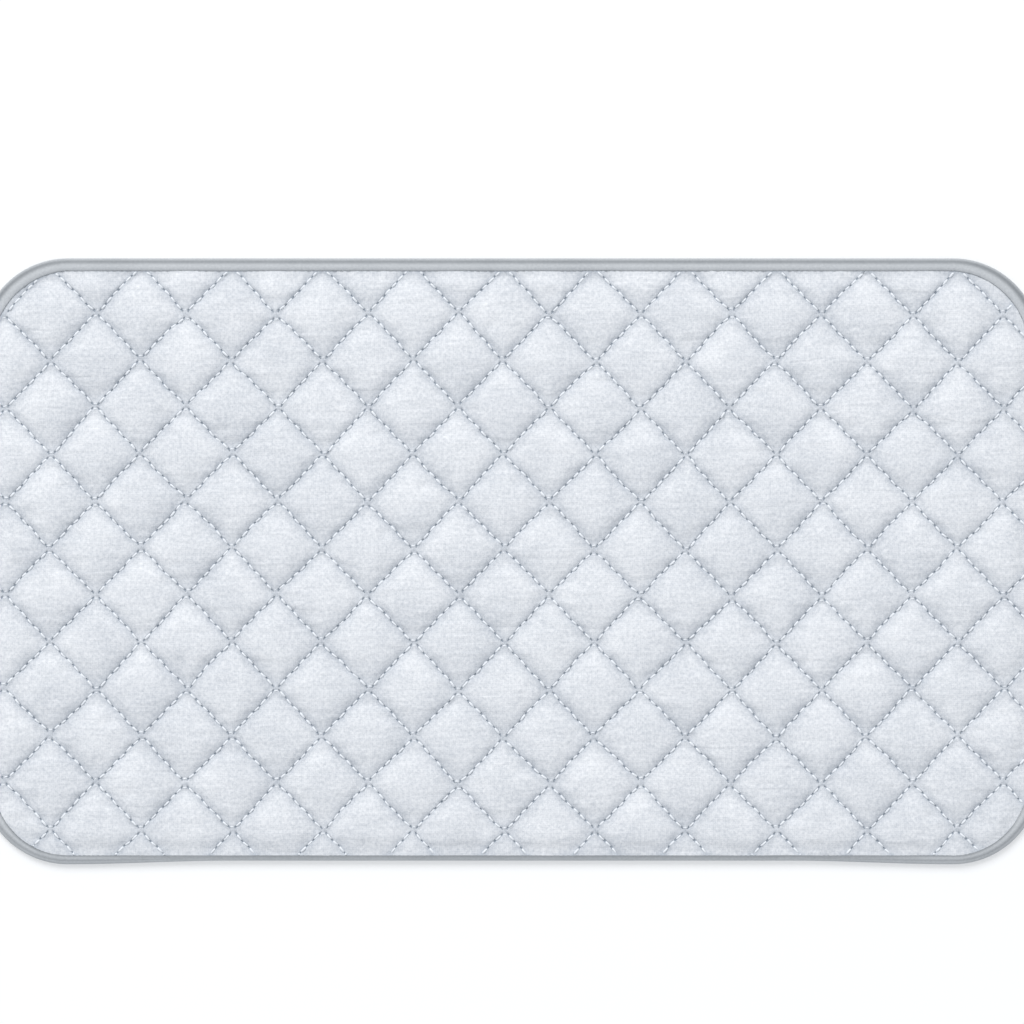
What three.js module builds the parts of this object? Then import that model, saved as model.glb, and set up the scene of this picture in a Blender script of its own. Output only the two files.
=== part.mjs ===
// A quilted ironing pad. Two woven covers hold a loft batting and an insulating felt, and zigzag rows of
// stitching draw them together into diamonds. A folded tape binds the cut edge all round.
// Millimetres, +Z up. The origin lies on the table under the middle of the pad, and +Y points to the rear
// long side.
import * as THREE from "three";

// Overall size, measured over the binding
const PAD_WIDTH = 838;
const PAD_DEPTH = 479;
const PAD_THICKNESS = 10; // from the table to the crowns of the diamonds
const CORNER_RADIUS = 69;

// Quilting
const DIAMOND_WIDTH = 72; // along X, between two meetings of tips
const DIAMOND_DEPTH = 74.6; // along Y
const QUILT_OFFSET_X = -6; // one meeting of tips, from the middle of the pad
const QUILT_OFFSET_Y = 11;
const ROW_TIP_GAP = 3; // between the tips of neighbouring rows
const CROWN_SHOULDER = 13; // from a seam to where a diamond is at its full height

// Layers
const COVER_CLOTH = 0.6;
const BACKING_CLOTH = 0.6;
const BATTING_AT_SEAM = 0.8; // sewn flat under a row of stitches
const FELT_AT_SEAM = 0.8;

// Thread, pressed flat by the stitching
const THREAD_WIDTH = 1;
const THREAD_HEIGHT = 0.5;

// Binding tape
const TAPE_THICKNESS = 0.7;
const TAPE_FACE_REAR = 9.5; // how far the tape reaches in over the pad
const TAPE_FACE_SIDE = 9;
const TAPE_FACE_FRONT = 6.5;
const EDGE_ROLL = 2.2; // outer radius where the tape turns over the edge

const FIT_GAP = 0.2; // between neighbouring pieces
const ARC_STEPS = 8; // facets in a corner of the outline
const ROLL_STEPS = 2; // facets in a turn of the tape

// Colours
const COVER_WHITE = 0xe1e6ec;
const BACKING_GREY = 0xd3d8dd;
const BATTING_WHITE = 0xf4f4f1;
const FELT_GREY = 0xb9bcbd;
const THREAD_WHITE = 0xf1f4f8;
const TAPE_GREY = 0xc4c9cd;

// Sizes that follow from the quilting: a seam's direction, and how far inside a diamond the far side of a
// row's turned tip lies from the straight seam
const HALF_WIDTH = DIAMOND_WIDTH / 2;
const HALF_DEPTH = DIAMOND_DEPTH / 2;
const SEAM_LENGTH = Math.hypot(HALF_WIDTH, HALF_DEPTH);
const DIAMOND_INRADIUS = (HALF_WIDTH * HALF_DEPTH) / SEAM_LENGTH;
const TIP_MITRE = ((THREAD_WIDTH / 2) * SEAM_LENGTH) / HALF_WIDTH;
const TIP_REACH = ((ROW_TIP_GAP / 2 + TIP_MITRE) * HALF_WIDTH) / SEAM_LENGTH;
const TIP_SHARE = TIP_REACH / CROWN_SHOULDER;

// Levels at a seam, from the table up
const EDGE_THREAD_LEVEL = FIT_GAP;
const BOBBIN_LEVEL = Math.max(TAPE_THICKNESS, EDGE_THREAD_LEVEL + THREAD_HEIGHT) + FIT_GAP;
const BACKING_LEVEL = (BOBBIN_LEVEL + THREAD_HEIGHT + FIT_GAP) / (1 - TIP_SHARE);
const FELT_LEVEL = BACKING_LEVEL + BACKING_CLOTH + FIT_GAP;
const BATTING_LEVEL = FELT_LEVEL + FELT_AT_SEAM + FIT_GAP;
const COVER_LEVEL = BATTING_LEVEL + BATTING_AT_SEAM + FIT_GAP;
const COVER_TOP = COVER_LEVEL + COVER_CLOTH;
const CROWN_RISE = PAD_THICKNESS - COVER_TOP;
const NEEDLE_LEVEL = COVER_TOP + FIT_GAP + TIP_SHARE * CROWN_RISE;
const TAPE_UNDERSIDE = NEEDLE_LEVEL + THREAD_HEIGHT + FIT_GAP;
const EDGE_HEIGHT = TAPE_UNDERSIDE + TAPE_THICKNESS;

// Plan outlines

// A point kept to a ten-thousandth of a millimetre, so that shared corners agree.
const SNAP = 1e4;
function planPoint(x, y, puff = 0) {
  return { x: Math.round(x * SNAP) / SNAP, y: Math.round(y * SNAP) / SNAP, puff };
}

// A rounded rectangle, anticlockwise from the front right corner. The same step of two outlines lies in the
// same place round the pad.
function roundedOutline({ side, front, rear, radius }) {
  const right = PAD_WIDTH / 2 - side - radius;
  const back = PAD_DEPTH / 2 - rear - radius;
  const near = -PAD_DEPTH / 2 + front + radius;
  const corners = [
    [right, near],
    [right, back],
    [-right, back],
    [-right, near],
  ];
  return corners.flatMap(([x, y], corner) =>
    Array.from({ length: ARC_STEPS + 1 }, (_, step) => {
      const turn = (Math.PI / 2) * (corner - 1 + step / ARC_STEPS);
      return planPoint(x + radius * Math.cos(turn), y + radius * Math.sin(turn));
    }),
  );
}

function insetOutline(inset) {
  return roundedOutline({ side: inset, front: inset, rear: inset, radius: CORNER_RADIUS - inset });
}

// An outline that keeps a distance inside the tape's inner edge.
function tapeOutline(inside) {
  return roundedOutline({
    side: TAPE_FACE_SIDE + inside,
    front: TAPE_FACE_FRONT + inside,
    rear: TAPE_FACE_REAR + inside,
    radius: CORNER_RADIUS - TAPE_FACE_SIDE - inside,
  });
}

const DITCH = THREAD_WIDTH + 2 * FIT_GAP; // bare strip along the tape, where its own seam lies
const LAYER_OUTLINE = insetOutline(TAPE_THICKNESS + FIT_GAP);
const ROW_OUTLINE = insetOutline(EDGE_ROLL + FIT_GAP + THREAD_WIDTH);
const QUILT_OUTLINE = tapeOutline(DITCH);

// How far a point lies to the left of the line from a to b.
function leftOf(point, a, b) {
  const cross = (b.x - a.x) * (point.y - a.y) - (b.y - a.y) * (point.x - a.x);
  return cross / Math.hypot(b.x - a.x, b.y - a.y);
}

function between(a, b, share) {
  return planPoint(a.x + (b.x - a.x) * share, a.y + (b.y - a.y) * share);
}

const next = (list, index) => list[(index + 1) % list.length];
const samePoint = (a, b) => a.x === b.x && a.y === b.y;

// The part of a polygon inside a convex outline.
function clipPolygon(polygon, outline) {
  const kept = outline.reduce((points, a, side) => {
    const b = next(outline, side);
    return points.flatMap((p, index) => {
      const q = next(points, index);
      const fromP = leftOf(p, a, b);
      const fromQ = leftOf(q, a, b);
      const crossing = fromP * fromQ < 0 ? [between(p, q, fromP / (fromP - fromQ))] : [];
      return fromP >= 0 ? [p, ...crossing] : crossing;
    });
  }, polygon);
  return kept.filter((p, index) => !samePoint(p, next(kept, index)));
}

// The part of a segment inside a convex outline, or null.
function clipSegment(p, q, outline) {
  let [enter, leave] = [0, 1];
  outline.forEach((a, side) => {
    const fromP = leftOf(p, a, next(outline, side));
    const fromQ = leftOf(q, a, next(outline, side));
    const crossing = fromP / (fromP - fromQ);
    if (fromP < fromQ) enter = Math.max(enter, crossing);
    else if (fromP > fromQ) leave = Math.min(leave, crossing);
    else if (fromP < 0) leave = -1;
  });
  return enter < leave ? [between(p, q, enter), between(p, q, leave)] : null;
}

// Quilted faces, in plan. A point's puff is 0 on a seam and 1 on a diamond's full height.

// Every step of half a diamond that the pad covers, as [column, row], with some to spare.
const REACH_X = Math.ceil(PAD_WIDTH / DIAMOND_WIDTH) + 2;
const REACH_Y = Math.ceil(PAD_DEPTH / DIAMOND_DEPTH) + 2;
const steps = (reach) => Array.from({ length: 2 * reach + 1 }, (_, index) => index - reach);
const latticePoint = (column, row) =>
  planPoint(QUILT_OFFSET_X + column * HALF_WIDTH, QUILT_OFFSET_Y + row * HALF_DEPTH);

// The diamonds, cut off at the tape. Seams meet where column + row is even, and diamonds lie between.
function quiltCells() {
  const centres = steps(REACH_X).flatMap((column) =>
    steps(REACH_Y)
      .filter((row) => (column + row) % 2 !== 0)
      .map((row) => [column, row]),
  );
  return centres
    .map(([column, row]) => {
      const diamond = [
        latticePoint(column + 1, row),
        latticePoint(column, row + 1),
        latticePoint(column - 1, row),
        latticePoint(column, row - 1),
      ];
      const polygon = clipPolygon(diamond, QUILT_OUTLINE);
      const whole = polygon.length === 4 && diamond.every((p) => polygon.some((q) => samePoint(p, q)));
      return { polygon, whole, centre: latticePoint(column, row) };
    })
    .filter(({ polygon }) => polygon.length > 2);
}

function centroid(polygon) {
  const sum = polygon.reduce((total, p) => ({ x: total.x + p.x, y: total.y + p.y }), { x: 0, y: 0 });
  return planPoint(sum.x / polygon.length, sum.y / polygon.length);
}

// A pointed crown: one triangle from the middle to each side.
function pointedCrown(polygon, middle) {
  const clear = Math.min(...polygon.map((p, side) => leftOf(middle, p, next(polygon, side))));
  const apex = { ...middle, puff: Math.min(1, clear / CROWN_SHOULDER) };
  return polygon.map((p, side) => [apex, p, next(polygon, side)]);
}

// A broad crown, level on top with sloping shoulders, on a whole diamond.
function broadCrown(polygon, middle) {
  const share = 1 - CROWN_SHOULDER / DIAMOND_INRADIUS;
  const plateau = polygon.map((p) => ({ ...between(middle, p, share), puff: 1 }));
  const shoulders = polygon.flatMap((p, side) => [
    [p, next(polygon, side), plateau[side]],
    [next(polygon, side), next(plateau, side), plateau[side]],
  ]);
  const [a, b, c, d] = plateau;
  return [...shoulders, [a, b, c], [a, c, d]];
}

// A flat ring or sheet inside one outline and outside another.
function flatFace(outline, hole) {
  const vectors = (points) => points.map((p) => new THREE.Vector2(p.x, p.y));
  const points = [...outline, ...hole];
  const holes = hole.length ? [vectors(hole)] : [];
  return THREE.ShapeUtils.triangulateShape(vectors(outline), holes).map((corners) =>
    corners.map((corner) => points[corner]),
  );
}

// The corners along the quilting's outline, in order round the pad.
const ON_LINE = 1e-3; // nearer than this, a corner lies on the outline
function borderOf(cells) {
  const onSide = (p, a, side) => Math.abs(leftOf(p, a, next(QUILT_OUTLINE, side))) < ON_LINE;
  const onBorder = (p) => QUILT_OUTLINE.some((a, side) => onSide(p, a, side));
  const found = new Map();
  cells
    .flatMap(({ polygon }) => polygon)
    .filter(onBorder)
    .forEach((p) => found.set(`${p.x} ${p.y}`, p));
  return [...found.values()].sort((p, q) => Math.atan2(p.y, p.x) - Math.atan2(q.y, q.x));
}

const CELLS = quiltCells();
const MARGIN = flatFace(LAYER_OUTLINE, borderOf(CELLS));
const middleOf = ({ polygon, whole, centre }) => (whole ? centre : centroid(polygon));
const pointedCell = (cell) => pointedCrown(cell.polygon, middleOf(cell));
const broadCell = (cell) => (cell.whole ? broadCrown(cell.polygon, cell.centre) : pointedCell(cell));
const FACES = {
  flat: flatFace(LAYER_OUTLINE, []),
  pointed: [...MARGIN, ...CELLS.flatMap(pointedCell)],
  broad: [...MARGIN, ...CELLS.flatMap(broadCell)],
};

// Solids

function closedGeometry(triangles) {
  const positions = triangles.flatMap((corners) => corners.flatMap(({ x, y, z }) => [x, y, z]));
  const geometry = new THREE.BufferGeometry();
  geometry.setAttribute("position", new THREE.Float32BufferAttribute(positions, 3));
  geometry.computeVertexNormals();
  return geometry;
}

// A layer between two faces. Each face has its shape, its level at the seams and its rise at the crowns.
function layerGeometry(under, over) {
  const raise = (p, { level, rise }) => ({ x: p.x, y: p.y, z: level + p.puff * rise });
  const top = FACES[over.shape].map((corners) => corners.map((p) => raise(p, over)));
  const bottom = FACES[under.shape].map((corners) => corners.map((p) => raise(p, under)).reverse());
  const edge = LAYER_OUTLINE.flatMap((p, index) => {
    const q = next(LAYER_OUTLINE, index);
    return [
      [raise(p, under), raise(q, under), raise(q, over)],
      [raise(p, under), raise(q, over), raise(p, over)],
    ];
  });
  return closedGeometry([...top, ...bottom, ...edge]);
}

// Skins a list of rings of corners. A closed run joins its last ring to its first.
function skinGeometry(rings, closed) {
  const spans = closed ? rings : rings.slice(0, -1);
  const sides = spans.flatMap((ring, index) => {
    const ahead = next(rings, index);
    return ring.flatMap((corner, side) => [
      [corner, next(ahead, side), next(ring, side)],
      [corner, ahead[side], next(ahead, side)],
    ]);
  });
  const fan = (ring) => ring.slice(2).map((corner, index) => [ring[0], ring[index + 1], corner]);
  const ends = closed ? [] : [...fan(rings[0]), ...fan([...rings.at(-1)].reverse())];
  return closedGeometry([...sides, ...ends]);
}

// A thread laid along a path in plan, with mitred turns.
function threadGeometry(path, closed) {
  const direction = (p, q) => new THREE.Vector2(q.x - p.x, q.y - p.y).normalize();
  const rings = path.map((p, index) => {
    const last = index === path.length - 1;
    const before = index > 0 || closed ? direction(path.at(index - 1), p) : direction(p, path[1]);
    const after = !last || closed ? direction(p, next(path, index)) : before;
    const along = before.clone().add(after).normalize();
    const half = THREAD_WIDTH / 2 / along.dot(after);
    const [left, right] = [half, -half].map((offset) => ({
      x: p.x - along.y * offset,
      y: p.y + along.x * offset,
    }));
    return [
      { ...right, z: 0 },
      { ...right, z: THREAD_HEIGHT },
      { ...left, z: THREAD_HEIGHT },
      { ...left, z: 0 },
    ];
  });
  return skinGeometry(rings, closed);
}

// One zigzag row, cut at the edge. Where an edge cuts its turns off, the row runs on along the edge, out of
// sight under the tape.
function rowPath(row) {
  const turns = steps(REACH_X).map((column) => {
    const upper = (column + row) % 2 !== 0;
    const { x, y } = latticePoint(column, upper ? row + 1 : row);
    return planPoint(x, y + (upper ? -1 : 1) * (ROW_TIP_GAP / 2));
  });
  const pieces = turns.slice(1).map((turn, index) => clipSegment(turns[index], turn, ROW_OUTLINE));
  const points = pieces.filter(Boolean).flat();
  return points.filter((p, index) => index === 0 || !samePoint(p, points[index - 1]));
}

// Binding tape: a strip folded round the edge, skinned from stations along the outline.
function tapeGeometry() {
  const arc = (radius, from, to) =>
    Array.from({ length: ROLL_STEPS + 1 }, (_, step) => {
      const turn = from + ((to - from) * step) / ROLL_STEPS;
      return { across: EDGE_ROLL - radius * Math.cos(turn), rise: radius * Math.sin(turn) };
    });
  const turned = (radius, sign) => arc(radius, sign * (Math.PI / 2), 0);
  const lower = (point) => ({ across: point.across, z: EDGE_ROLL + point.rise });
  const upper = (point) => ({ across: point.across, z: EDGE_HEIGHT - EDGE_ROLL + point.rise });
  const inside = EDGE_ROLL - TAPE_THICKNESS;
  const section = [
    { inner: true, z: 0 },
    ...turned(EDGE_ROLL, -1).map(lower),
    ...turned(EDGE_ROLL, 1).reverse().map(upper),
    { inner: true, z: EDGE_HEIGHT },
    { inner: true, z: TAPE_UNDERSIDE },
    ...turned(inside, 1).map(upper),
    ...turned(inside, -1).reverse().map(lower),
    { inner: true, z: TAPE_THICKNESS },
  ];
  const outer = insetOutline(0);
  const rolled = insetOutline(EDGE_ROLL);
  const innerEdge = tapeOutline(0);
  const rings = outer.map((edge, station) =>
    section.map(({ across, inner, z }) => {
      const { x, y } = inner ? innerEdge[station] : between(edge, rolled[station], across / EDGE_ROLL);
      return { x, y, z };
    }),
  );
  return skinGeometry(rings, true);
}

// The pad

const cloth = (color, roughness) => new THREE.MeshStandardMaterial({ color, roughness, metalness: 0 });
const MATERIALS = {
  cover: cloth(COVER_WHITE, 0.8),
  backing: cloth(BACKING_GREY, 0.9),
  batting: cloth(BATTING_WHITE, 1),
  felt: cloth(FELT_GREY, 1),
  thread: cloth(THREAD_WHITE, 0.6),
  tape: cloth(TAPE_GREY, 0.75),
};

function piece(name, geometry, material, level = 0) {
  const mesh = new THREE.Mesh(geometry, material);
  mesh.name = name;
  mesh.position.z = level;
  return mesh;
}

function layers() {
  const group = new THREE.Group();
  const sunk = -BACKING_LEVEL; // the underside's crowns reach down to the table
  const face = (shape, level, rise) => ({ shape, level, rise });
  const cover = layerGeometry(face("pointed", 0, CROWN_RISE), face("broad", COVER_CLOTH, CROWN_RISE));
  const batting = layerGeometry(face("flat", 0, 0), face("pointed", BATTING_AT_SEAM, CROWN_RISE));
  const felt = layerGeometry(face("pointed", 0, sunk), face("flat", FELT_AT_SEAM, 0));
  const backing = layerGeometry(face("broad", 0, sunk), face("pointed", BACKING_CLOTH, sunk));
  group.add(
    piece("top_cover", cover, MATERIALS.cover, COVER_LEVEL),
    piece("loft_batting", batting, MATERIALS.batting, BATTING_LEVEL),
    piece("insulating_felt", felt, MATERIALS.felt, FELT_LEVEL),
    piece("backing", backing, MATERIALS.backing, BACKING_LEVEL),
  );
  return group;
}

// Rows of lockstitch, numbered from the front: the needle's thread lies on the cover and the bobbin's under
// the backing.
function quilting() {
  const group = new THREE.Group();
  const paths = steps(REACH_Y)
    .map(rowPath)
    .filter((path) => path.length > 1);
  paths.forEach((path, index) => {
    const number = String(index + 1).padStart(2, "0");
    const geometry = threadGeometry(path, false);
    group.add(
      piece(`needle_thread_row_${number}`, geometry, MATERIALS.thread, NEEDLE_LEVEL),
      piece(`bobbin_thread_row_${number}`, geometry, MATERIALS.thread, BOBBIN_LEVEL),
    );
  });
  return group;
}

// The tape and the seam that holds it, sewn in the ditch along its inner edge on both faces.
function binding() {
  const group = new THREE.Group();
  const seam = threadGeometry(tapeOutline(FIT_GAP + THREAD_WIDTH / 2), true);
  group.add(
    piece("binding_tape", tapeGeometry(), MATERIALS.tape),
    piece("binding_needle_thread", seam, MATERIALS.thread, TAPE_UNDERSIDE),
    piece("binding_bobbin_thread", seam, MATERIALS.thread, EDGE_THREAD_LEVEL),
  );
  return group;
}

const pad = new THREE.Group();
pad.add(layers(), quilting(), binding());

export default pad;
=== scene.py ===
"""A quilted ironing pad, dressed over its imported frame: a puffed cotton cover held down by zigzag rows of
stitching, the batting and felt inside it, its backing, and the grey tape that binds the edge."""

import math

import bpy
import numpy as np
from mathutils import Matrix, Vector


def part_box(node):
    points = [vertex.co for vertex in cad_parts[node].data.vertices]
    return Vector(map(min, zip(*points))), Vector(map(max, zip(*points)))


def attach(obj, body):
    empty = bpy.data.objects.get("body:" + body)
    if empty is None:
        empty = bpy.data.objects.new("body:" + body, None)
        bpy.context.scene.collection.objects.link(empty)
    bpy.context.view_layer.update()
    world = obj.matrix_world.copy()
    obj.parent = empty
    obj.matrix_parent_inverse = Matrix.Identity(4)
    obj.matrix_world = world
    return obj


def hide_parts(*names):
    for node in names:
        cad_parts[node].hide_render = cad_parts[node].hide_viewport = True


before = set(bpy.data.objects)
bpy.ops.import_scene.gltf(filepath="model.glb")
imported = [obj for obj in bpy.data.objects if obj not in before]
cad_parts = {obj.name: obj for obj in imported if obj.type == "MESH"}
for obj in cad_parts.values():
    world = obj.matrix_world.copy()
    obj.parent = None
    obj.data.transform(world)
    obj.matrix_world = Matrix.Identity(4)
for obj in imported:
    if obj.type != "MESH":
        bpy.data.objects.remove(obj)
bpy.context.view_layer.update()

MM = 0.001
rng = np.random.default_rng(12)

# Sizes of the pad in millimetres. The outline is that of its solids, and the rest is as the photo shows it.
tape_low, tape_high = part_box("binding_tape")
PAD_WIDTH = (tape_high.x - tape_low.x) / MM
PAD_DEPTH = (tape_high.y - tape_low.y) / MM
CORNER_RADIUS = 69.0
TAPE_REAR, TAPE_SIDE, TAPE_FRONT = 10.2, 10.0, 7.4
TAPE_CORNER = 1.8  # how much wider the tape is halfway round a rear corner
FRONT_TUCK = 2.9  # how far the front edge is rolled in under the pad
FRONT_FADE = 130.0  # the roll fades out over this length before each front corner
COVER_SEAM = 4.7  # the cover under a row of stitches
COVER_EDGE = 5.9  # the cover where it runs in under the tape
FLAT_STRIP = 1.2  # beside the tape, where its seam holds the cover flat
BORDER_SLOPE = 16.0  # how far from that strip a cut diamond reaches its full height
BACKING_SEAM = 1.8  # the backing over a row of stitches

# The quilting. A diamond's side is sewn with seven stitches. Places along it are counted in 56ths, eight to
# a stitch, and a row turns four 56ths before the corner, so that neighbouring rows don't quite meet.
HALF_WIDTH = 35.84  # half a diamond, along the long side
HALF_DEPTH = 37.05
SEAM_SPACING = 2 * HALF_WIDTH * HALF_DEPTH / math.hypot(HALF_WIDTH, HALF_DEPTH)  # between parallel seams
QUILT_OFFSET = np.array([-5.1, 10.1])  # one crossing of seams, from the middle of the pad
ROWS = range(-7, 6)  # rows of stitches, by the corners along their lower side
CELLS = range(-11, 12)  # diamonds each way, with some to spare
SIDE = 56
STITCH = 8
TURN = 4
HOLES = list(range(TURN, SIDE - TURN + 1, STITCH))


# Outlines

def edge_distance(points, inset=0.0):
    """How far points lie inside the pad's outline, less an inset, and which way is out."""
    half = np.array([PAD_WIDTH / 2, PAD_DEPTH / 2]) - CORNER_RADIUS
    beyond = np.abs(points) - half
    corner = np.maximum(beyond, 0)
    reach = np.linalg.norm(corner, axis=-1, keepdims=True)
    along = np.where(beyond == beyond.max(-1, keepdims=True), 1.0, 0.0)
    out = np.where(reach > 0, corner / np.maximum(reach, 1e-9), along) * np.sign(points)
    distance = CORNER_RADIUS - reach[..., 0] - np.minimum(beyond.max(-1), 0)
    return distance - inset, out


def rear_corner(out):
    """1 halfway round a rear corner, and 0 along the straight edges."""
    return 2 * np.abs(out[..., 0]) * np.maximum(out[..., 1], 0)


def front_share(points, out):
    """1 along the middle of the front edge, fading out towards its corners."""
    to_corner = PAD_WIDTH / 2 - CORNER_RADIUS - np.abs(points[..., 0])
    faces_front = out[..., 1] < -0.99
    share = np.clip(to_corner / FRONT_FADE, 0, 1) * faces_front
    return share * share * (3 - 2 * share)


def tape_width(out):
    """The tape is wider over the rear edge than over the front, and widest round the rear corners."""
    ends = np.where(out[..., 1] > 0, TAPE_REAR, TAPE_FRONT)
    return TAPE_SIDE * out[..., 0] ** 2 + ends * out[..., 1] ** 2 + TAPE_CORNER * rear_corner(out)


def tucked(points):
    """Points in plan with the front edge rolled in. The tape's inner edge and all inside it stay."""
    distance, out = edge_distance(points)
    roll = FRONT_TUCK * front_share(points, out) * np.clip(1 - distance / TAPE_FRONT, 0, 1)
    return points - out * roll[..., None]


def inside_tape(points):
    """How far points lie inside the tape's inner edge."""
    distance, out = edge_distance(points)
    return distance - tape_width(out)


def outline_stations():
    """Points round the pad's outline, with the way out at each."""
    corner_steps, side_step = 22, 9.0
    half = np.array([PAD_WIDTH / 2, PAD_DEPTH / 2]) - CORNER_RADIUS
    centres = half * np.array([[1, -1], [1, 1], [-1, 1], [-1, -1]])
    points, outs = [], []
    for number, centre in enumerate(centres):
        turn = math.pi / 2 * (number - 1 + np.linspace(0, 1, corner_steps + 1))
        arc_out = np.column_stack([np.cos(turn), np.sin(turn)])
        run = centres[(number + 1) % 4] - centre
        count = int(np.linalg.norm(run) / side_step)
        share = np.linspace(0, 1, count + 1)[1:-1, None]
        points += [centre + CORNER_RADIUS * arc_out, centre + CORNER_RADIUS * arc_out[-1] + run * share]
        outs += [arc_out, np.repeat(arc_out[-1:], count - 1, 0)]
    return np.concatenate(points), np.concatenate(outs)


# Quilting pattern

# Waves of the sewing's wander: about how many millimetres each takes to a radian, and about how far it
# reaches. Short ones shift single stitches, and long ones bend whole rows.
DRIFT_SIZES = ((2.2, 0.2), (3.0, 0.2), (4.0, 0.2), (14, 0.4), (18, 0.4), (24, 0.4), (30, 0.4), (38, 0.4))
DRIFT_WAVES = [
    (rng.normal(size=2) / length, rng.uniform(0, 2 * math.pi), rng.normal(size=2) * reach)
    for length, reach in DRIFT_SIZES
]
CROSSING_SPREAD = (0.8, 0.6)  # how far rows wander where they turn, along the pad and across it
CROSSING_LIMIT = 1.4
CROSSING_REACH = 0.16  # how far that carries on along a diamond's side, as a share of it
CROSSING_DRIFT = (
    np.random.default_rng(7)
    .normal(scale=CROSSING_SPREAD, size=(2, len(CELLS), len(CELLS), 2))
    .clip(-CROSSING_LIMIT, CROSSING_LIMIT)
)
# Waves of slack cloth, each with its run in radians to a millimetre and its start.
SLACK_FOLDS = (((0.05, 0.62), 0.4), ((-0.07, 0.5), 2.1), ((0.11, 0.71), 4.0), ((-0.02, 0.41), 5.2))
SLACK_PATCHES = (((0.031, 0.017), 1.0), ((-0.013, 0.037), 2.5))
SLACK_DEPTH = 0.1
SLACK_SPREAD = 0.35  # with more, creases cover more of the cloth
GATHER_REACH = 3.2  # how far gathers run out from a seam


def sewing_drift(points):
    """The small wander of sewn rows, in millimetres."""
    return sum(np.sin(points @ wave + phase)[..., None] * push for wave, phase, push in DRIFT_WAVES)


def crossing_drift(a, b):
    """The wander of the two rows that turn at a crossing, each by itself, in millimetres."""
    cross_a, cross_b = np.rint(a / SIDE), np.rint(b / SIDE)
    off_a, off_b = a - cross_a * SIDE, b - cross_b * SIDE
    place = [np.clip(cross - CELLS[0], 0, len(CELLS) - 1).astype(int) for cross in (cross_a, cross_b)]
    lower, upper = CROSSING_DRIFT[:, place[0], place[1]]
    share = np.clip(0.5 + (off_a + off_b) / (2 * TURN), 0, 1)[..., None]
    fade = np.exp(-(off_a**2 + off_b**2) / (2 * (CROSSING_REACH * SIDE) ** 2))[..., None]
    return fade * (lower + (upper - lower) * share)


def slack_creases(points):
    """Faint creases that run along the pad where the cloth is slack, in millimetres."""
    folds = sum(np.sin(points @ np.array(wave) + start) for wave, start in SLACK_FOLDS)
    patches = np.prod([np.sin(points @ np.array(wave) + start) for wave, start in SLACK_PATCHES], axis=0)
    return SLACK_DEPTH * folds * np.clip(SLACK_SPREAD + patches, 0, 1)


def quilt_points(a, b):
    """Places in 56ths of a diamond's side, counted up to the right by a and up to the left by b."""
    a, b = np.asarray(a, float), np.asarray(b, float)
    even = np.stack([HALF_WIDTH * (a - b), HALF_DEPTH * (a + b)], -1) / SIDE + QUILT_OFFSET
    return even + sewing_drift(even) + crossing_drift(a, b)


def off_seam(place):
    """How far a place lies from the nearest seam line, in 56ths."""
    return np.abs((place + SIDE / 2) % SIDE - SIDE / 2)


def row_holes(row):
    """The needle holes of one zigzag row from left to right, as places a and b."""
    holes = []
    for cell in CELLS:
        a, b = cell * SIDE, (row - cell) * SIDE
        holes += [(a + step, b) for step in HOLES]
        holes += [(a + SIDE, b - step) for step in HOLES]
    return np.array(holes)


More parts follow.
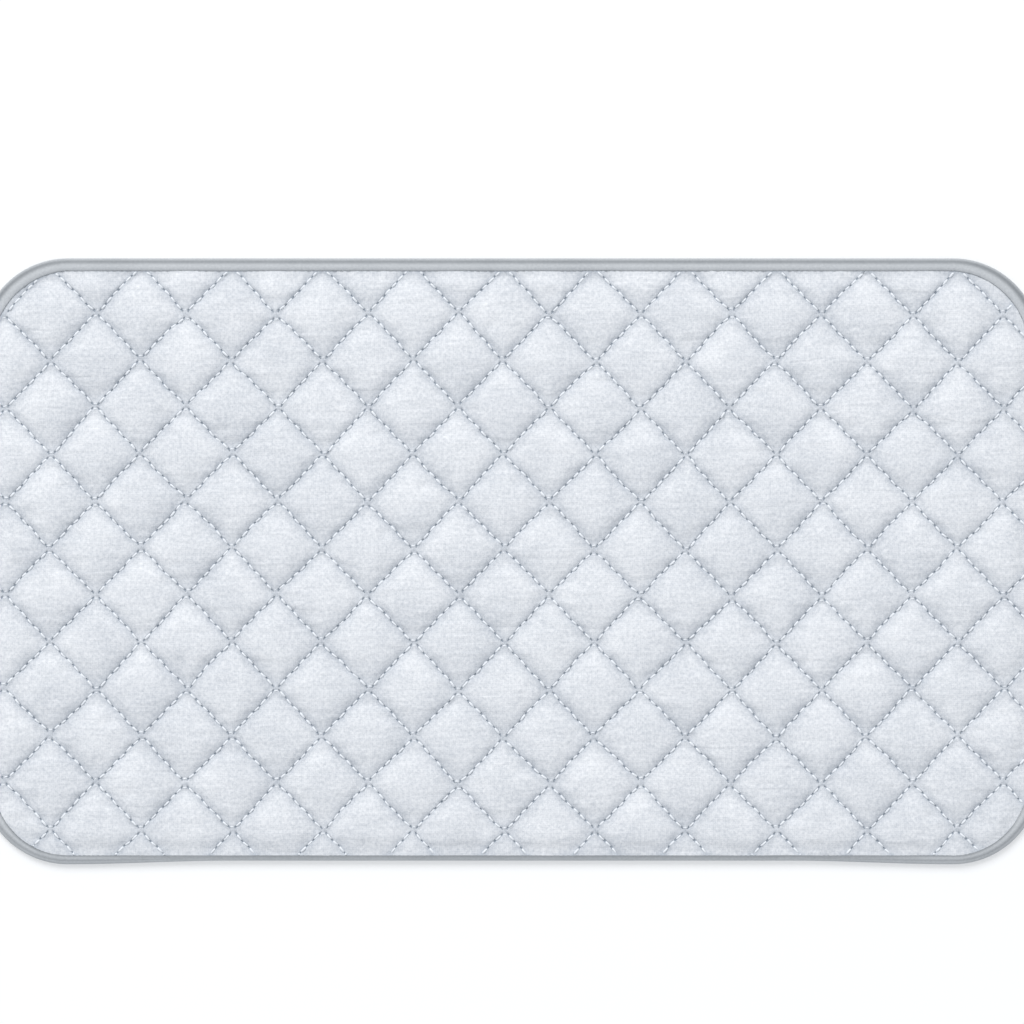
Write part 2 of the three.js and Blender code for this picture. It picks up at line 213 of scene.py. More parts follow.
class QuiltGrid:
    """A sheet of faces along the quilting, trimmed at the pad's outline less an inset."""

    def __init__(self, steps, inset):
        line = np.array([cell * SIDE + step for cell in CELLS for step in steps])
        a, b = np.meshgrid(line, line, indexing="ij")
        points = quilt_points(a, b)
        around = [(slice(None, -1), slice(None, -1)), (slice(1, None), slice(None, -1))]
        around += [(slice(1, None), slice(1, None)), (slice(None, -1), slice(1, None))]
        middle = sum(points[corner] for corner in around) / 4
        index = np.arange(a.size).reshape(a.shape)
        quads = np.stack([index[corner] for corner in around], -1)[edge_distance(middle, inset)[0] > 0]
        used, renumbered = np.unique(quads, return_inverse=True)
        self.faces = renumbered.reshape(-1, 4).tolist()
        self.a, self.b = a.ravel()[used], b.ravel()[used]
        self.plan = points.reshape(-1, 2)[used]
        self.rim = self.rim_loop()
        self.rim_corners = set(self.rim)
        distance, out = edge_distance(self.plan[self.rim], inset)
        self.plan[self.rim] += out * distance[:, None]
        self.plan = tucked(self.plan)
        self.faces = [part for face in self.faces for part in self.halved_at_rim(face)]

    def rim_loop(self):
        """The corners along the cut edge, in order."""
        sides = {(p, q) for face in self.faces for p, q in zip(face, face[1:] + face[:1])}
        follows = {p: q for p, q in sides if (q, p) not in sides}
        loop = [min(follows)]
        while follows[loop[-1]] != loop[0]:
            loop.append(follows[loop[-1]])
        return loop

    def halved_at_rim(self, face):
        """Halves a face with two sides along the cut edge from between them, so that no half is a sliver."""
        inner = [place for place, corner in enumerate(face) if corner not in self.rim_corners]
        if len(inner) != 1:
            return [face]
        turned = face[inner[0] - 2 :] + face[: inner[0] - 2]
        return [turned[:3], [turned[0], *turned[2:]]]

    def sewn(self):
        """Which corners are needle holes, and which lie under a stitch between two holes."""
        side_a, side_b = self.a % SIDE, self.b % SIDE
        hole = np.zeros(len(self.a), bool)
        held = (side_a == side_b) & np.isin(side_a, [TURN // 2, SIDE - TURN // 2])
        for along, across in ((side_a, side_b), (side_b, side_a)):
            hole |= (across == 0) & np.isin(along, HOLES)
            held |= (across == 0) & (along > TURN) & (along < SIDE - TURN)
        return hole, held & ~hole

    def gathers(self):
        """1 beside a needle hole and -1 beside the middle of a stitch, fading away from the seam."""
        reach = GATHER_REACH / SEAM_SPACING * SIDE
        drawn = 0
        for along, across in ((self.a, self.b), (self.b, self.a)):
            beat = np.cos(2 * math.pi * (along - TURN) / STITCH)
            drawn = drawn + beat * np.exp(-off_seam(across) / reach)
        return drawn

    def seam_distance(self):
        """How far each corner lies from the nearest seam line, in millimetres."""
        return np.minimum(off_seam(self.a), off_seam(self.b)) / SIDE * SEAM_SPACING

    def crown(self, power):
        """0 on a seam and at the tape, rising to 1 over a diamond's middle. A low power is plump."""
        diamond = np.abs(np.sin(math.pi * self.a / SIDE) * np.sin(math.pi * self.b / SIDE))
        off_tape = np.clip((inside_tape(self.plan) - FLAT_STRIP) / BORDER_SLOPE, 0, 1)
        return diamond**power * np.sin(math.pi / 2 * off_tape)


# Meshes

def mesh_object(name, points, faces, *materials, second=()):
    """A smooth mesh from points in millimetres. Faces named in second are flat, in the second material."""
    mesh = bpy.data.meshes.new(name)
    mesh.from_pydata((np.asarray(points) * MM).tolist(), [], faces)
    for material in materials:
        mesh.materials.append(material)
    slots = np.zeros(len(faces), int)
    slots[list(second)] = 1
    mesh.polygons.foreach_set("material_index", slots)
    mesh.polygons.foreach_set("use_smooth", slots == 0)
    mesh.update()
    obj = bpy.data.objects.new(name, mesh)
    bpy.context.scene.collection.objects.link(obj)
    return obj


def paint_shade(obj, depth):
    """Stores how much shade is painted at each corner of a mesh, from 0 on open cloth to 1."""
    creases = obj.data.attributes.new("crease", "FLOAT", "POINT")
    creases.data.foreach_set("value", np.clip(depth, 0, 1))


def dress(obj, slot, *nodes):
    """Puts a piece on the pad in place of its plain solids."""
    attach(obj, "root")
    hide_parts(*nodes)


def ring_faces(first, count, rings, closed):
    """Faces that skin rings of count corners each. A closed run joins its last ring to its first."""
    faces = []
    for ring in range(rings if closed else rings - 1):
        here, ahead = first + ring * count, first + (ring + 1) % rings * count
        for corner in range(count):
            after = (corner + 1) % count
            faces.append((here + corner, here + after, ahead + after, ahead + corner))
    return faces


def filled_between(grid, top, bottom):
    """Points and faces of a closed layer between two heights of a grid."""
    count = len(grid.plan)
    points = np.concatenate([np.column_stack([grid.plan, top]), np.column_stack([grid.plan, bottom])])
    faces = grid.faces + [[corner + count for corner in reversed(face)] for face in grid.faces]
    ahead = grid.rim[1:] + grid.rim[:1]
    faces += [(q, p, p + count, q + count) for p, q in zip(grid.rim, ahead)]
    return points, faces


# Materials

WAVE_SCALE = 0.314  # a wave pattern's scale times its bands' spacing


def linear(hex_colour):
    """An sRGB hex colour as linear red, green, blue and alpha."""
    parts = [int(hex_colour[start : start + 2], 16) / 255 for start in (1, 3, 5)]
    return (*[c / 12.92 if c <= 0.04045 else ((c + 0.055) / 1.055) ** 2.4 for c in parts], 1.0)


def add_node(material, kind, settings, *inputs):
    """Adds a node with its settings. Each input is a socket's name or number, with a value or a socket."""
    tree = material.node_tree
    made = tree.nodes.new(kind)
    for key, value in settings.items():
        setattr(made, key, value)
    for socket, value in inputs:
        if isinstance(value, bpy.types.NodeSocket):
            tree.links.new(value, made.inputs[socket])
        else:
            made.inputs[socket].default_value = value
    return made


def new_material(name, roughness, sheen):
    """A material with its shader's even values set, and the place on the pad that its patterns use."""
    material = bpy.data.materials.new(name)
    material.use_nodes = True
    shader = material.node_tree.nodes["Principled BSDF"]
    shader.inputs["Roughness"].default_value = roughness
    shader.inputs["IOR"].default_value = 1.5
    shader.inputs["Sheen Weight"].default_value = sheen
    shader.inputs["Sheen Roughness"].default_value = 0.5
    place = add_node(material, "ShaderNodeTexCoord", {}).outputs["Object"]
    return material, shader, place


def finish_material(material, shader, pattern, span, colours, relief, depth_mm, strength, crease=None):
    """Colours a pattern over its span of values, from a shade to a pale colour, and raises a relief. Where a
    mesh is marked with painted shade, a given shade colour is multiplied in there."""
    ramp = add_node(material, "ShaderNodeValToRGB", {}, ("Fac", pattern))
    for element, value, colour in zip(ramp.color_ramp.elements, span, colours):
        element.position, element.color = value, linear(colour)
    colour = ramp.outputs["Color"]
    if crease:
        depth = add_node(material, "ShaderNodeAttribute", {"attribute_name": "crease"})
        drawn = add_node(
            material, "ShaderNodeMix", {"data_type": "RGBA", "blend_type": "MULTIPLY"},
            ("Factor", depth.outputs["Fac"]), (6, colour), (7, linear(crease)),
        )
        colour = drawn.outputs[2]
    bump = add_node(
        material, "ShaderNodeBump", {}, ("Strength", strength), ("Distance", depth_mm * MM),
        ("Height", relief),
    )
    material.node_tree.links.new(colour, shader.inputs["Base Color"])
    material.node_tree.links.new(bump.outputs["Normal"], shader.inputs["Normal"])
    return material


def woven_cotton(name, colours, crease, thread_mm, turn, roughness, sheen, rumpled):
    """Plain-woven cotton: two sets of yarns that cross, each uneven in thickness. The eye sees a matt face
    with a fine speckle, a little paler where yarns stand up, and a soft edge of loose fibre. Real yarns lie
    about 0.4 mm apart, which is too fine to show here, so they are drawn at thread_mm. Slack cloth is
    rumpled along the pad."""
    material, shader, place = new_material(name, roughness, sheen)
    turned = add_node(
        material, "ShaderNodeMapping", {}, ("Vector", place), ("Rotation", (0, 0, math.radians(turn)))
    )
    yarns = []
    for direction in ("X", "Y"):
        wave = add_node(
            material, "ShaderNodeTexWave", {"bands_direction": direction}, ("Vector", turned.outputs[0]),
            ("Scale", WAVE_SCALE / (thread_mm * MM)), ("Distortion", 2.5), ("Detail", 2.0),
            ("Detail Scale", 1.2),
        )
        yarns.append(wave.outputs["Fac"])
    weave = add_node(material, "ShaderNodeMath", {"operation": "MULTIPLY"}, (0, yarns[0]), (1, yarns[1]))
    speck = add_node(
        material, "ShaderNodeTexNoise", {}, ("Vector", place), ("Scale", 1 / (1.5 * thread_mm * MM)),
        ("Detail", 3.0), ("Roughness", 0.8),
    )
    cloud = add_node(
        material, "ShaderNodeTexNoise", {}, ("Vector", place), ("Scale", 1 / (30 * MM)), ("Detail", 2.0)
    )
    grain = add_node(
        material, "ShaderNodeMath", {"operation": "MULTIPLY_ADD"}, (0, weave.outputs[0]), (1, 0.1),
        (2, speck.outputs["Fac"]),
    )
    tone = add_node(
        material, "ShaderNodeMath", {"operation": "MULTIPLY_ADD"}, (0, cloud.outputs["Fac"]), (1, 0.36),
        (2, grain.outputs[0]),
    )
    drawn_out = add_node(material, "ShaderNodeMapping", {}, ("Vector", place), ("Scale", (0.18, 1, 1)))
    rumples = add_node(
        material, "ShaderNodeTexNoise", {}, ("Vector", drawn_out.outputs[0]), ("Scale", 1 / (6 * MM)),
        ("Detail", 1.0), ("Distortion", 0.4),
    )
    relief = add_node(
        material, "ShaderNodeMath", {"operation": "MULTIPLY_ADD"}, (0, rumples.outputs["Fac"]),
        (1, rumpled), (2, grain.outputs[0]),
    )
    return finish_material(
        material, shader, tone.outputs[0], (0.43, 0.97), colours, relief.outputs[0],
        depth_mm=0.25, strength=0.5, crease=crease,
    )


def fibre_fill(name, colours, fibre_mm):
    """Loose or needled fibre: strands with no weave, matt and soft, paler where they are thick."""
    material, shader, place = new_material(name, 1.0, 0.3)
    strands = add_node(
        material, "ShaderNodeTexNoise", {}, ("Vector", place), ("Scale", 1 / (fibre_mm * MM)),
        ("Detail", 5.0), ("Roughness", 0.65), ("Distortion", 1.5),
    ).outputs["Fac"]
    return finish_material(
        material, shader, strands, (0.3, 0.7), colours, strands, depth_mm=0.6, strength=0.7
    )


def sewing_thread(name, colours):
    """Twisted polyester thread: plies that wind round each other, with a soft shine along them. The plies
    lie about 0.5 mm apart, and are drawn at 1 mm so that they show."""
    material, shader, place = new_material(name, 0.5, 0.1)
    plies = add_node(
        material, "ShaderNodeTexWave", {"bands_direction": "X"}, ("Vector", place),
        ("Scale", WAVE_SCALE / (1.0 * MM)), ("Distortion", 1.0),
    ).outputs["Fac"]
    return finish_material(material, shader, plies, (0.0, 0.8), colours, plies, depth_mm=0.15, strength=0.5)


def hole_shadow_paint(name, colours):
    """Painted shadow for the lip of a needle hole: cloth pressed down and out of the light, given a dark,
    dull colour.
    """
    material, shader, place = new_material(name, 1.0, 0.0)
    fray = add_node(
        material, "ShaderNodeTexNoise", {}, ("Vector", place), ("Scale", 1 / (0.8 * MM))
    ).outputs["Fac"]
    return finish_material(material, shader, fray, (0.3, 0.7), colours, fray, depth_mm=0.2, strength=0.5)


# Each cloth's shade colour is multiplied in as painted shade where its mesh is marked.
cover_cotton = woven_cotton(
    "bleached_cotton", ("#C9CDD3", "#FBFBFC"), crease="#C4CBD3",
    thread_mm=1.6, turn=0, roughness=0.85, sheen=0.08, rumpled=6.0,
)
backing_cotton = woven_cotton(
    "backing_cotton", ("#C2C7CC", "#E0E3E6"), crease="#C9CFD6",
    thread_mm=1.6, turn=0, roughness=0.9, sheen=0.08, rumpled=3.0,
)
tape_cotton = woven_cotton(
    "cotton_bias_tape", ("#BABDC0", "#D5D7D9"), crease="#B6B8BA",
    thread_mm=1.2, turn=45, roughness=0.6, sheen=0.1, rumpled=0.0,
)
wadding = fibre_fill("polyester_wadding", ("#DFE0DD", "#F6F6F4"), fibre_mm=5.0)
felt = fibre_fill("needled_felt", ("#A3A7A8", "#BFC2C3"), fibre_mm=3.0)
white_thread = sewing_thread("white_polyester_thread", ("#E5EAF0", "#FBFCFE"))
# The binding thread's own grey is darkened so that it sits in with the shade of the tape's ditch, so its
# colour is partly painted shade.
grey_thread = sewing_thread("grey_polyester_thread", ("#747B82", "#8C9298"))
painted_hole_shadow = hole_shadow_paint("pierced_cotton", ("#8E97A1", "#A9B0B9"))


# Cover

COVER_STEPS = [0, 1, 2, *range(TURN, SIDE - TURN + 1, TURN), SIDE - 2, SIDE - 1]  # finer where rows turn
COVER_INSET = 5.5  # how far inside the pad's edge the cover ends
COVER_RISE = 3.9  # a diamond's crown before the filling presses it up
COVER_POWER, CREASE_POWER = 0.45, 0.3  # how plump the crown is, and how far slack creases run down it
EDGE_FADE = 4.0  # how far from the tape the cover comes down to its seams
HOLE_DRAW = 1.8  # how far a stitch draws the cover down at a needle hole
SLACK_PACE, SLACK_SWING = 2.3, 3.0  # how quickly and how strongly the slack changes over the cover
GATHER_PACE, GATHER_SHIFT = 1.7, 50.0  # how quickly the gathers change over it, and from what start
GATHER_MEAN, GATHER_SWING, GATHER_LEAST, GATHER_MOST = 0.7, 0.3, 0.1, 1.4  # how strong they are
GATHER_DEPTH = 0.38
SEAM_SHADES = ((0.13, 1.7), (0.38, 4.8))  # how strong the painted shade is in a seam, and how far it reaches
HOLE_SHADE = 1.1  # how many times as strong the painted shade is at a hole as along its seam
TAPE_SHADE, TAPE_SHADE_REACH = 0.2, 1.5  # the same painted shade as for a seam, beside the tape
SETTLE_STEPS = 20


def blow_up(obj, sewn_down, slack):
    """Lets the filling press the sewn cloth up between its stitches, and gives the places it settles in."""
    pins = obj.vertex_groups.new(name="sewn_down")
    pins.add(np.flatnonzero(sewn_down).tolist(), 1.0, "REPLACE")
    spare = obj.vertex_groups.new(name="slack")
    for index, weight in enumerate(slack.tolist()):
        spare.add([index], weight, "REPLACE")
    modifier = obj.modifiers.new("cloth", "CLOTH")
    modifier.collision_settings.use_collision = False
    cloth = modifier.settings
    cloth.quality = 4
    cloth.mass = 0.1
    cloth.tension_stiffness = cloth.compression_stiffness = 20
    cloth.shear_stiffness = 8
    cloth.bending_stiffness = 0.03
    cloth.air_damping = 3
    cloth.effector_weights.gravity = 0
    cloth.vertex_group_mass = pins.name
    cloth.vertex_group_shrink = spare.name
    cloth.shrink_min, cloth.shrink_max = -0.015, -0.055
    cloth.use_pressure = True
    cloth.uniform_pressure_force = 5
    scene = bpy.context.scene
    for step in range(SETTLE_STEPS):
        scene.frame_set(step + 1)
    settled = obj.evaluated_get(bpy.context.evaluated_depsgraph_get())
    places = np.empty(len(settled.data.vertices) * 3)
    settled.data.vertices.foreach_get("co", places)
    obj.modifiers.clear()
    obj.vertex_groups.clear()
    scene.frame_set(1)
    return places.reshape(-1, 3) / MM


def top_cover():
    """The cover, pressed up between its stitches. Gives its grid, and the places where its corners lie."""
    grid = QuiltGrid(COVER_STEPS, COVER_INSET)
    hole, held = grid.sewn()
    flat = inside_tape(grid.plan) < FLAT_STRIP
    from_tape = np.maximum(inside_tape(grid.plan), 0)
    edge = np.exp(-from_tape / EDGE_FADE)
    height = COVER_SEAM + (COVER_EDGE - COVER_SEAM) * edge + COVER_RISE * grid.crown(COVER_POWER)
    height[hole & ~flat] -= HOLE_DRAW
    places = np.column_stack([grid.plan, height])
    obj = mesh_object("top_cover_cloth", places, grid.faces, cover_cotton)
    # Some places have more cloth to spare than others, and some seams are gathered more.
    slack = 0.5 + 0.5 * np.sin(sewing_drift(grid.plan * SLACK_PACE).sum(-1) * SLACK_SWING)
    swing = sewing_drift(grid.plan * GATHER_PACE + GATHER_SHIFT).sum(-1) * GATHER_SWING
    drawn_in = GATHER_DEPTH * np.clip(GATHER_MEAN + swing, GATHER_LEAST, GATHER_MOST) * grid.gathers()
    sewn_down = hole | held | flat
    places = blow_up(obj, sewn_down, slack)
    loose = slack_creases(grid.plan) * grid.crown(CREASE_POWER) - drawn_in
    places[:, 2] += np.where(sewn_down, 0, loose)
    obj.data.vertices.foreach_set("co", (places * MM).ravel())
    obj.data.update()
    # Shade is painted on the cover along its seams, stronger at needle holes, and beside the tape.
    seam = grid.seam_distance()
    drawn = sum(shade * np.exp(-((seam / reach) ** 2)) for shade, reach in SEAM_SHADES)
    drawn *= np.where(hole, HOLE_SHADE, 1.0)
    paint_shade(obj, drawn + TAPE_SHADE * np.exp(-from_tape / TAPE_SHADE_REACH))
    dress(obj, "cover", "top_cover")
    return grid, places


# Filling and backing

FILL_STEPS = list(range(0, SIDE, STITCH))
BATTING_INSET, FELT_INSET, BACKING_INSET = 6.5, 3.5, 2.5
BATTING_DROP = 1.4  # how far under the cover the batting lies at a seam
BATTING_RISE = 0.8  # the share of the cover's puff that it follows
BATTING_LEAST = 0.3  # between the felt and the batting's upper side where it is sewn flat
LAYER_GAP = 0.1
FELT_TOP = 2.9
FELT_LIFT = 0.7  # the felt's underside over the backing
BACKING_STEPS = list(range(0, SIDE, TURN))
BACKING_POWER = 0.35  # how plump it is between seams
BACKING_DRAW = 0.5  # how far a stitch draws the backing up at a needle hole


def backing_height(grid):
    """The underside is pressed flat by the table, and drawn up along the seams."""
    return BACKING_SEAM * (1 - grid.crown(BACKING_POWER))


def loft_batting(cover_grid, cover_places):
    """The batting, which fills the cover's diamonds."""
    grid = QuiltGrid(FILL_STEPS, BATTING_INSET)
    height = {(a, b): z for a, b, z in zip(cover_grid.a, cover_grid.b, cover_places[:, 2])}
    over = np.array([height.get(place, COVER_SEAM) for place in zip(grid.a, grid.b)])
    puffed = COVER_SEAM - BATTING_DROP + BATTING_RISE * (over - COVER_SEAM)
    top = np.maximum(puffed, FELT_TOP + BATTING_LEAST)
    points, faces = filled_between(grid, top, np.full(len(top), FELT_TOP + LAYER_GAP))
    obj = mesh_object("loft_batting_fill", points, faces, wadding)
    dress(obj, "batting", "loft_batting")


def insulating_felt():
    """The felt, flat on top and shaped to the backing below."""
    grid = QuiltGrid(FILL_STEPS, FELT_INSET)
    top = np.full(len(grid.plan), FELT_TOP)
    points, faces = filled_between(grid, top, backing_height(grid) + FELT_LIFT)
    obj = mesh_object("insulating_felt_sheet", points, faces, felt)
    dress(obj, "felt", "insulating_felt")


def backing():
    """The backing, facing down."""
    grid = QuiltGrid(BACKING_STEPS, BACKING_INSET)
    hole, _ = grid.sewn()
    height = backing_height(grid)
    height[hole] += BACKING_DRAW
    points = np.column_stack([grid.plan, height])
    obj = mesh_object("backing_cloth", points, [face[::-1] for face in grid.faces], backing_cotton)
    dress(obj, "backing", "backing")


# Stitches

# A stitch from one hole to the next: places along it, how high it stands there, and how thick it is.
STITCH_SHARES = np.array([0.1, 0.16, 0.3, 0.5, 0.7, 0.84, 0.9])
STITCH_RISE = np.array([-1.3, -0.1, 0.4, 0.5, 0.4, -0.1, -1.3])
STITCH_SWELL = np.array([0.6, 0.85, 1.0, 1.05, 1.0, 0.85, 0.6])
STITCH_LEAN, STITCH_LIFT = 0.2, 0.12  # how far stitches lean and lift by chance
SHORTEST_STITCH = 1.5
HOLE_CLEAR = 1.5  # nearer to the tape than this, holes don't show
TURN_SLOPE = 0.5  # a stitch less steep than this is one where its row turns
TURN_SINK, TURN_THINNER = 0.4, 0.3  # how such a stitch is drawn tight

# The two threads of a row: the level of its stitches and of the lips of its holes, which way is out, and the
# radius of a stitch and of a hole. Stitches are drawn thicker than real thread, as the photo shows them.
ROW_THREADS = {
    "needle": (COVER_SEAM + 0.1, COVER_SEAM + 0.1, 1, 0.88, 1.2),
    "bobbin": (BACKING_SEAM, BACKING_SEAM + 0.15, -1, 0.5, 1.05),
}


def stitch_mesh(starts, ends, level, up, radius, corners=6):
    """Points and faces of separate stitches, each out of one needle hole and down into the next."""
    shares = STITCH_SHARES[:, None, None]
    run = ends - starts
    along = run / np.linalg.norm(run, axis=1, keepdims=True)
    across = np.column_stack([-along[:, 1], along[:, 0]])
    lean = rng.normal(scale=STITCH_LEAN, size=(len(starts), 1)) * across
    lift = rng.normal(scale=STITCH_LIFT, size=len(starts))
    middle = starts + run * shares + lean * (shares - 0.5)
    turn = np.arange(corners) * 2 * math.pi / corners
    thick = np.broadcast_to(radius, len(starts))
    rings = []
    for place, rise, swell in zip(middle, STITCH_RISE, STITCH_SWELL):
        height = level + up * (rise + lift)
        for angle in turn:
            side = place + across * (thick * swell * math.cos(angle))[:, None]
            rings.append(np.column_stack([side, height + thick * swell * math.sin(angle)]))
    points = np.stack(rings, 1).reshape(-1, 3)
    each = len(STITCH_SHARES) * corners
    faces = []
    for number in range(len(starts)):
        first = number * each
        faces += ring_faces(first, corners, len(STITCH_SHARES), False)
        faces.append(tuple(range(first + corners - 1, first - 1, -1)))
        faces.append(tuple(range(first + each - corners, first + each)))
    return points, faces


def hole_mesh(centres, level, up, radius):
    """Points and faces of the dimples that needle holes make, each closed inside the pad, which carry the
    holes' painted shadow.
    """
    corners, dimple, depth = 7, 0.5, 0.8
    turn = np.arange(corners) * 2 * math.pi / corners
    ring = np.column_stack([np.cos(turn), np.sin(turn)]) * radius
    rim = (centres[:, None] + ring).reshape(-1, 2)
    points = np.concatenate([
        np.column_stack([rim, np.full(len(rim), level)]),
        np.column_stack([centres, np.full(len(centres), level - up * dimple)]),
        np.column_stack([centres, np.full(len(centres), level - up * depth)]),
    ])
    faces = []
    for number in range(len(centres)):
        middle, tip = len(rim) + number, len(rim) + len(centres) + number
        for corner in range(corners):
            p, q = number * corners + corner, number * corners + (corner + 1) % corners
            faces += [(p, q, middle), (q, p, tip)] if up > 0 else [(q, p, middle), (p, q, tip)]
    return points, faces


def sewn_row(row):
    """The starts and ends of one row's stitches, and its holes. The last stitches run in under the tape."""
    holes = row_holes(row)
    points = quilt_points(holes[:, 0], holes[:, 1])
    clear = inside_tape(points)
    starts, ends = [], []
    for p, q, depth_p, depth_q in zip(points, points[1:], clear, clear[1:]):
        if max(depth_p, depth_q) <= 0:
            continue
        crossing = p + (q - p) * depth_p / (depth_p - depth_q)
        starts.append(p if depth_p > 0 else crossing)
        ends.append(q if depth_q > 0 else crossing)
    starts, ends = np.array(starts), np.array(ends)
    long_enough = np.linalg.norm(ends - starts, axis=1) > SHORTEST_STITCH
    return starts[long_enough], ends[long_enough], points[clear > HOLE_CLEAR]


def quilting_rows():
    """The needle and bobbin stitches of each row, with the holes that they draw in."""
    for row in ROWS:
        number = f"{row - ROWS[0] + 1:02d}"
        starts, ends, holes = sewn_row(row)
        run = np.abs(ends - starts)
        turning = run[:, 1] < TURN_SLOPE * run[:, 0]
        for thread, (level, lip, up, radius, hole_radius) in ROW_THREADS.items():
            points, faces = stitch_mesh(
                starts, ends, level - up * TURN_SINK * turning, up, radius * (1 - TURN_THINNER * turning)
            )
            hole_points, hole_faces = hole_mesh(holes, lip, up, hole_radius)
            # The holes' dimples take the painted shadow of the needle holes.
            dark = range(len(faces), len(faces) + len(hole_faces))
            faces += [tuple(corner + len(points) for corner in face) for face in hole_faces]
            points = np.concatenate([points, hole_points])
            name = f"{thread}_stitches_row_{number}"
            obj = mesh_object(name, points, faces, white_thread, painted_hole_shadow, second=dark)
            dress(obj, "thread", f"{thread}_thread_row_{number}")


# Binding

# The tape's section: inset from the pad's edge, height, and height along the front, where it lies flatter.
# It runs round the outside from the underside's inner edge to the top's, and back along the inside.
# A pressed fold runs along the tape.
TAPE_SECTION = np.array([
    (9.5, 0.75, 0.75), (9.0, 0.25, 0.25), (7.5, 0.05, 0.05), (5.0, 0.0, 0.0), (3.0, 0.0, 0.0),
    (1.6, 0.2, 0.2), (0.6, 0.8, 0.8), (0.1, 1.7, 1.7), (0.0, 2.7, 2.7), (0.25, 3.8, 3.9), (0.8, 4.7, 4.9),
    (1.5, 5.25, 5.5), (2.3, 5.55, 5.85), (3.0, 5.7, 6.05), (3.5, 6.1, 6.2), (4.2, 6.55, 6.35),
    (5.2, 6.95, 6.45), (6.2, 7.15, 6.5), (7.2, 7.1, 6.5), (8.1, 6.85, 6.45), (8.9, 6.5, 6.3),
    (9.5, 6.1, 6.1), (9.1, 5.95, 5.95), (7.6, 6.2, 6.05), (5.0, 6.05, 5.95), (3.6, 5.4, 5.4),
    (1.6, 4.2, 4.2), (1.1, 3.0, 3.0), (1.5, 1.7, 1.7), (2.8, 1.0, 1.0), (5.0, 0.8, 0.8), (9.0, 0.95, 0.95),
])
TAPE_FOLD = 3.0  # the fold's inset
FOLD_CORNER = 0.6  # how much further in it lies round the rear corners
TAPE_UNEVEN = 0.12  # how far the tape's width and height wander
WIDTH_WAVES, HEIGHT_WAVES = range(9, 60, 5), range(13, 90, 7)  # how often, round the pad
UNEVEN_HEIGHT = 7.4  # its height wanders in full here, and not at all on the table
FOLD_SHADES = ([0.0, 1.0, 2.6], [0.2, 0.4, 1.0])  # insets outside the fold, and how strong the tape's painted shade is there
FOLD_SHADE_REACH = 2.2  # how far in from the fold its painted shade reaches
FOLD_SHADE_LOST = 0.8  # how much of that painted shade is lost where the tape faces the front
LIP_SHADE, LIP_SHADE_FRONT = 0.15, 1.1  # how strong the painted shade in the seam's ditch is, and how much stronger in front
LIP_REACH, LIP_REACH_FRONT = 1.5, 1.7  # how far that painted shade reaches, and how much further in front
BINDING_STITCH = 3.6
BINDING_RADIUS = 0.28
BINDING_SEAM_INSET = 0.2  # how far outside the tape's inner edge its seam runs
BINDING_THREADS = {"needle": (COVER_EDGE - 0.7, 1), "bobbin": (BACKING_SEAM - 0.1, -1)}  # level, and way out


def round_noise(count, waves, scale):
    """An unevenness that closes on itself round the pad."""
    turn = np.arange(count) * 2 * math.pi / count
    return sum(
        rng.normal(scale=scale) / math.sqrt(len(waves)) * np.sin(wave * turn + rng.uniform(0, 2 * math.pi))
        for wave in waves
    )


def binding_tape():
    """The tape, folded over the edge all round."""
    points, outs = outline_stations()
    width = tape_width(outs) + round_noise(len(points), WIDTH_WAVES, TAPE_UNEVEN)
    lift = round_noise(len(points), HEIGHT_WAVES, TAPE_UNEVEN)
    straight_front = front_share(points, outs)[:, None]
    inset, height, front_height = TAPE_SECTION.T
    fold = TAPE_FOLD + FOLD_CORNER * rear_corner(outs)[:, None]
    beyond_fold = (inset - TAPE_FOLD) * (width[:, None] - fold) / (inset.max() - TAPE_FOLD)
    across = np.where(inset > TAPE_FOLD, fold + beyond_fold, inset * fold / TAPE_FOLD)
    plan = tucked(points[:, None] - outs[:, None] * across[..., None])
    level = height + (front_height - height) * straight_front
    raised = level + lift[:, None] * np.clip(level / UNEVEN_HEIGHT, 0, 1)
    rings = np.concatenate([plan, raised[..., None]], -1)
    faces = [face[::-1] for face in ring_faces(0, len(inset), len(points), True)]
    obj = mesh_object("binding_tape_roll", rings.reshape(-1, 3), faces, tape_cotton)
    # Shade is painted on the tape along its fold and in the ditch along its seam, and in front mostly in the
    # ditch.
    front = np.clip(-outs[:, 1:], 0, 1)
    from_fold = np.maximum(across - fold, 0) / FOLD_SHADE_REACH
    from_lip = (width[:, None] - across) / (LIP_REACH + LIP_REACH_FRONT * straight_front)
    creases = np.exp(-(from_fold**2)) * np.interp(across, *FOLD_SHADES)
    creases *= (1 - FOLD_SHADE_LOST * front) * (1 - straight_front)
    creases += (LIP_SHADE + LIP_SHADE_FRONT * front) * np.exp(-(from_lip**2))
    paint_shade(obj, creases.ravel())
    dress(obj, "tape", "binding_tape")


def binding_seam():
    """The seam that holds the tape, sewn in the ditch along its inner edge on both faces."""
    points, outs = outline_stations()
    path = points - outs * (tape_width(outs) - BINDING_SEAM_INSET)[:, None]
    closed = np.concatenate([path, path[:1]])
    travelled = np.concatenate([[0], np.cumsum(np.linalg.norm(np.diff(closed, axis=0), axis=1))])
    count = int(travelled[-1] / BINDING_STITCH)
    marks = np.linspace(0, travelled[-1], count + 1)
    holes = np.column_stack([np.interp(marks, travelled, closed[:, axis]) for axis in (0, 1)])
    for thread, (level, up) in BINDING_THREADS.items():
        made, faces = stitch_mesh(holes[:-1], holes[1:], level, up, BINDING_RADIUS, corners=5)
        obj = mesh_object(f"binding_{thread}_stitches", made, faces, grey_thread)
        dress(obj, "thread", f"binding_{thread}_thread")


cover_grid, cover_places = top_cover()
loft_batting(cover_grid, cover_places)
insulating_felt()
backing()
quilting_rows()
binding_tape()
binding_seam()


# Studio

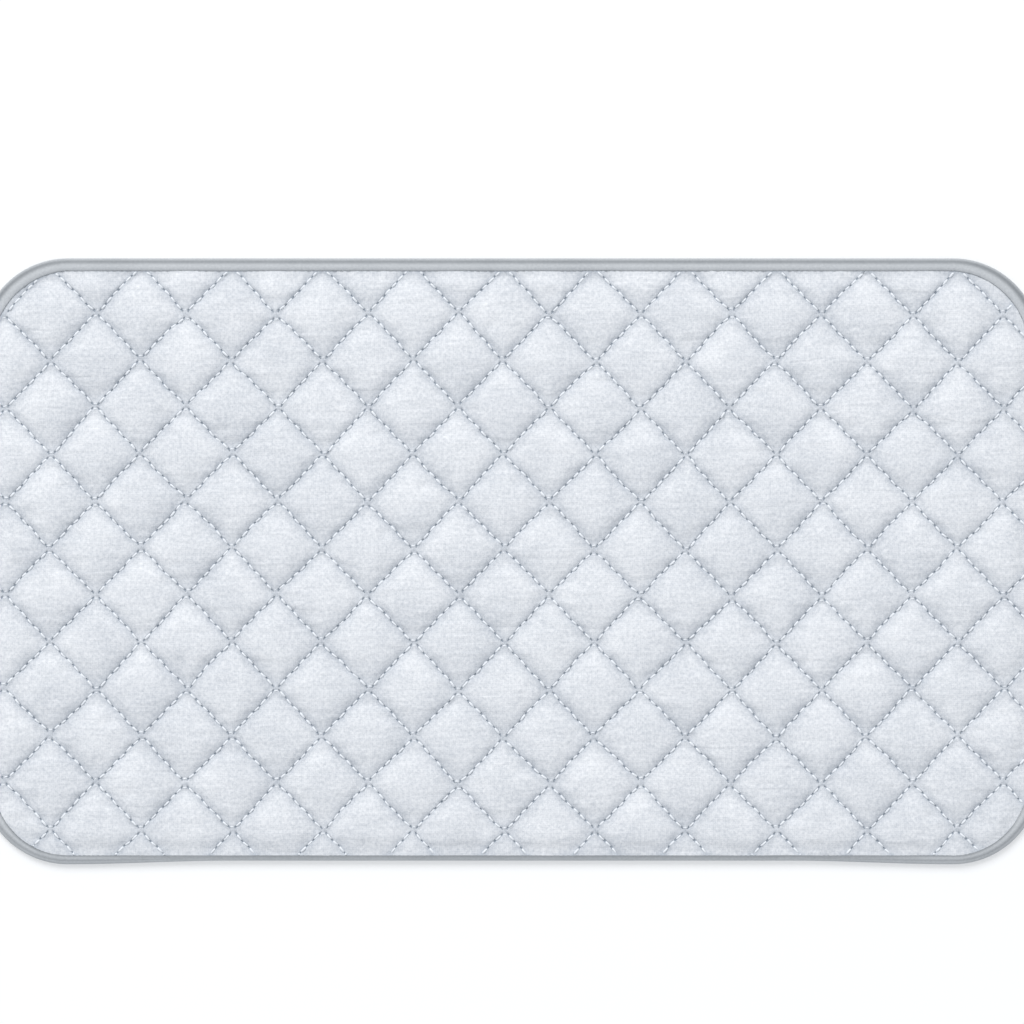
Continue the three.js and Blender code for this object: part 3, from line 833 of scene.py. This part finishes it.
FRAME_PIXELS = 1024
PHOTO_SCALE = 0.789  # millimetres to a pixel, at the pad's upper side
PHOTO_CENTRE = (1.2, 39.0)  # the middle of the frame, from the middle of the pad
UPPER_SIDE = 7.0
LENS, SENSOR = 100, 36
FLOOR_HALF = 6.0  # metres
FLOOR_DROP = 0.2  # how far under the pad the floor lies
FLOOR_GLOW = 0.345
CLEAR_WITHIN = 3.0  # the floor lets light through to what is nearer than this


def studio_camera():
    """A long lens, straight above the pad."""
    data = bpy.data.cameras.new("camera")
    data.lens, data.sensor_width = LENS, SENSOR
    data.clip_end = 50
    camera = bpy.data.objects.new("camera", data)
    bpy.context.scene.collection.objects.link(camera)
    above = UPPER_SIDE + FRAME_PIXELS * PHOTO_SCALE * LENS / SENSOR
    camera.location = Vector((*PHOTO_CENTRE, above)) * MM
    bpy.context.scene.camera = camera


def studio_lamp():
    """One wide, soft lamp, high behind the pad and a little to its left."""
    data = bpy.data.lights.new("window_light", "AREA")
    data.size, data.energy = 6.0, 810
    lamp = bpy.data.objects.new("window_light", data)
    bpy.context.scene.collection.objects.link(lamp)
    lamp.location = (-2.6, 8.1, 7.7)
    lamp.rotation_mode = "QUATERNION"
    lamp.rotation_quaternion = (-lamp.location).to_track_quat("-Z", "Y")


def studio_world():
    """Even, slightly cool light from all round."""
    world = bpy.data.worlds.new("studio")
    bpy.context.scene.world = world
    world.use_nodes = True
    background = world.node_tree.nodes["Background"]
    background.inputs["Color"].default_value = linear("#F4F9FF")
    background.inputs["Strength"].default_value = 0.65


def studio_floor():
    """White paper. The camera sees it with a little light of its own, so that it is white and keeps its
    shadow. From below it is clear, and it lets light through to the pad that lies on it, so that the
    underside shows."""
    corners = [(FLOOR_HALF * x, FLOOR_HALF * y, 0) for x, y in ((-1, -1), (1, -1), (1, 1), (-1, 1))]
    mesh = bpy.data.meshes.new("floor")
    mesh.from_pydata(corners, [], [(0, 1, 2, 3)])
    material = bpy.data.materials.new("white_paper")
    material.use_nodes = True
    material.node_tree.nodes.clear()
    paper = add_node(material, "ShaderNodeBsdfDiffuse", {}, ("Color", linear("#D8D8D8")))
    glow = add_node(material, "ShaderNodeEmission", {}, ("Strength", FLOOR_GLOW))
    lit = add_node(material, "ShaderNodeAddShader", {}, (0, paper.outputs[0]), (1, glow.outputs[0]))
    ray = add_node(material, "ShaderNodeLightPath", {}).outputs
    under = add_node(material, "ShaderNodeNewGeometry", {}).outputs["Backfacing"]
    close = add_node(
        material, "ShaderNodeMath", {"operation": "LESS_THAN"}, (0, ray["Ray Length"]),
        (1, CLEAR_WITHIN * MM),
    )
    larger = {"operation": "MAXIMUM"}
    seen = ray["Is Camera Ray"]
    for mirrored in ("Is Glossy Ray", "Is Transmission Ray"):
        seen = add_node(material, "ShaderNodeMath", larger, (0, seen), (1, ray[mirrored])).outputs[0]
    clear = add_node(material, "ShaderNodeMath", larger, (0, under), (1, close.outputs[0]))
    glass = add_node(material, "ShaderNodeBsdfTransparent", {})
    shown = add_node(
        material, "ShaderNodeMixShader", {}, ("Fac", seen), (1, paper.outputs[0]), (2, lit.outputs[0])
    )
    surface = add_node(
        material, "ShaderNodeMixShader", {}, ("Fac", clear.outputs[0]), (1, shown.outputs[0]),
        (2, glass.outputs[0]),
    )
    add_node(material, "ShaderNodeOutputMaterial", {}, ("Surface", surface.outputs[0]))
    mesh.materials.append(material)
    floor = bpy.data.objects.new("floor", mesh)
    floor.location.z = -FLOOR_DROP * MM
    bpy.context.scene.collection.objects.link(floor)


studio_camera()
studio_world()
studio_floor()
studio_lamp()
bpy.context.scene.view_settings.view_transform = "Standard"
